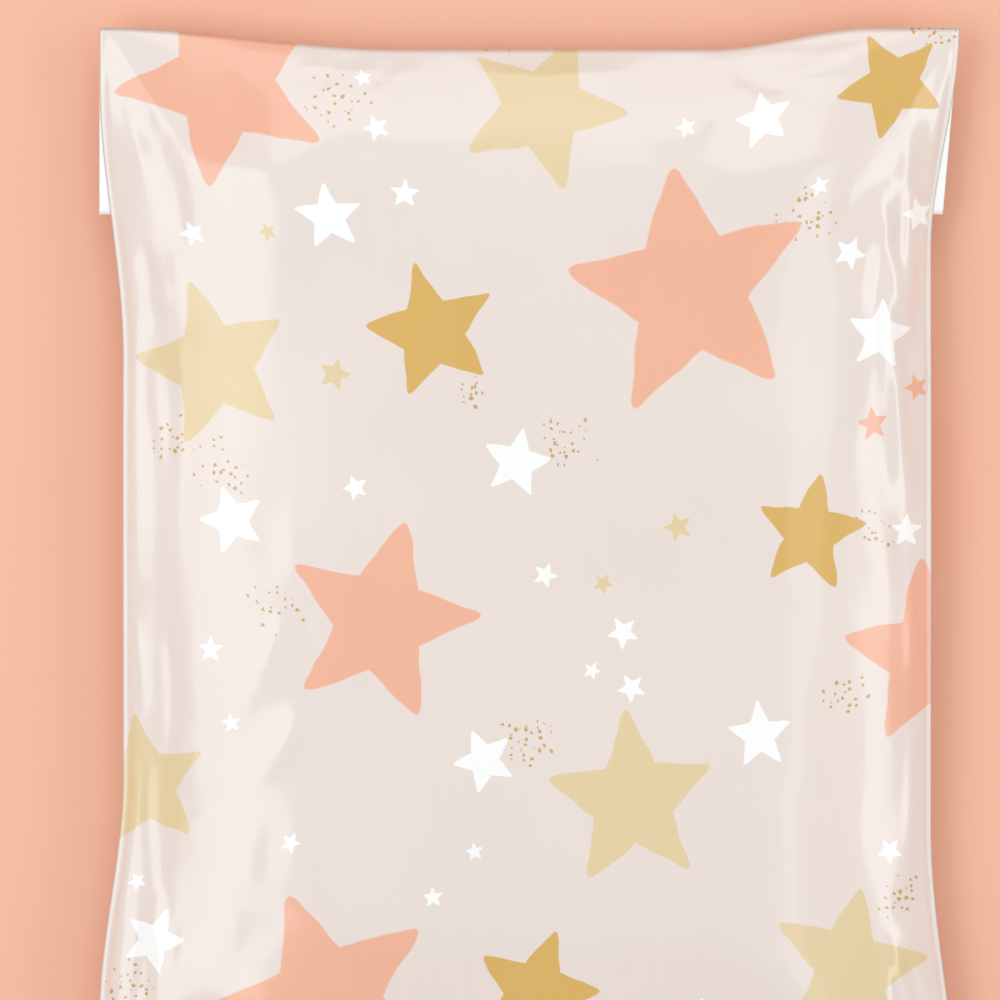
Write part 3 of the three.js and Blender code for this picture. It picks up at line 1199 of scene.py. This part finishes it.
# %% [markdown]
# ## The floor
# A plain pale floor carries the bag's soft shadow. It is matt, so that it shows no lamp, and a very faint
# unevenness of tone keeps it from looking like a cut-out.

# %% Lay the floor
FLOOR_PEACH = (247, 188, 160)
FLOOR_SIZE = 8
FLOOR_CLOUD_SCALE = 3.0
FLOOR_TONE = (0.995, 1.0)
FLOOR_ROUGHNESS = 0.75
FLOOR_SPECULAR = 0.2


def floor_material():
    material = bpy.data.materials.new("pale_floor")
    material.use_nodes = True
    n = Nodes(material.node_tree)
    shader = material.node_tree.nodes["Principled BSDF"]
    place = n.add("ShaderNodeTexCoord").outputs["Object"]
    tone = n.ramp(n.noise(place, FLOOR_CLOUD_SCALE), *CLOUD, *FLOOR_TONE)
    bright = n.add("ShaderNodeCombineXYZ", {0: tone, 1: tone, 2: tone}).outputs[0]
    n.feed(shader.inputs["Base Color"], n.vector("MULTIPLY", rgba(FLOOR_PEACH)[:3], bright))
    shader.inputs["Roughness"].default_value = FLOOR_ROUGHNESS
    shader.inputs["Specular IOR Level"].default_value = FLOOR_SPECULAR
    return material


def add_floor():
    bpy.ops.mesh.primitive_plane_add(size=FLOOR_SIZE)
    floor = bpy.context.object
    floor.name = "floor"
    floor.data.materials.append(floor_material())
    return floor


floor = add_floor()
print("floor", tuple(round(n, 1) for n in floor.dimensions), "m")

# %% [markdown]
# ## Light
# Four soft lamps stand around the bag: a wide one on the left that the left slope mirrors as a broad bright
# band, a narrow one on the right for thin bright lines, a faint strip higher up on the right, and one beyond
# the top edge. The space straight above is kept plain, so the flat middle shows only its own colour. The
# lamps are a little cool and the surroundings a little warm, and together they are close to white.

# %% Place the lamps
LAMP_COLOUR = (0.83, 0.93, 1.0)
WORLD_COLOUR = (1.0, 0.975, 0.95, 1.0)
WORLD_STRENGTH = 0.60
ALONG_BAG = (0, 1, 0)
ACROSS_BAG = (1, 0, 0)


def add_lamp(name, place, long_way, size, brightness):
    """A soft lamp that faces the bag's middle; a white sheet of paper under a brightness of 1 is white."""
    data = bpy.data.lights.new(name, "AREA")
    data.shape = "RECTANGLE"
    data.size, data.size_y = size
    data.energy = brightness * math.pi * size[0] * size[1]
    data.color = LAMP_COLOUR
    lamp = bpy.data.objects.new(name, data)
    facing = Vector(place).normalized()
    length = (Vector(long_way) - facing * facing.dot(Vector(long_way))).normalized()
    turn = Matrix((length, facing.cross(length), facing)).transposed()
    lamp.matrix_world = Matrix.Translation(place) @ turn.to_4x4()
    bpy.context.scene.collection.objects.link(lamp)


add_lamp("wide_left", (-0.64, 0.0, 0.85), ALONG_BAG, (1.0, 0.62), 2.15)
add_lamp("narrow_right", (0.80, 0.05, 0.52), ALONG_BAG, (0.9, 0.24), 3.0)
add_lamp("faint_right", (0.385, 0.0, 0.94), ALONG_BAG, (0.9, 0.13), 1.3)
add_lamp("beyond_top", (0.0, 0.95, 0.72), ACROSS_BAG, (0.60, 0.76), 1.5)
world = bpy.data.worlds.new("studio")
world.use_nodes = True
world.node_tree.nodes["Background"].inputs["Color"].default_value = WORLD_COLOUR
world.node_tree.nodes["Background"].inputs["Strength"].default_value = WORLD_STRENGTH
bpy.context.scene.world = world
bpy.context.scene.view_settings.view_transform = "Standard"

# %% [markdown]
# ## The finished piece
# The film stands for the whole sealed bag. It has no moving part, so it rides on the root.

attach(film, "root")
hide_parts("mailer_bag")
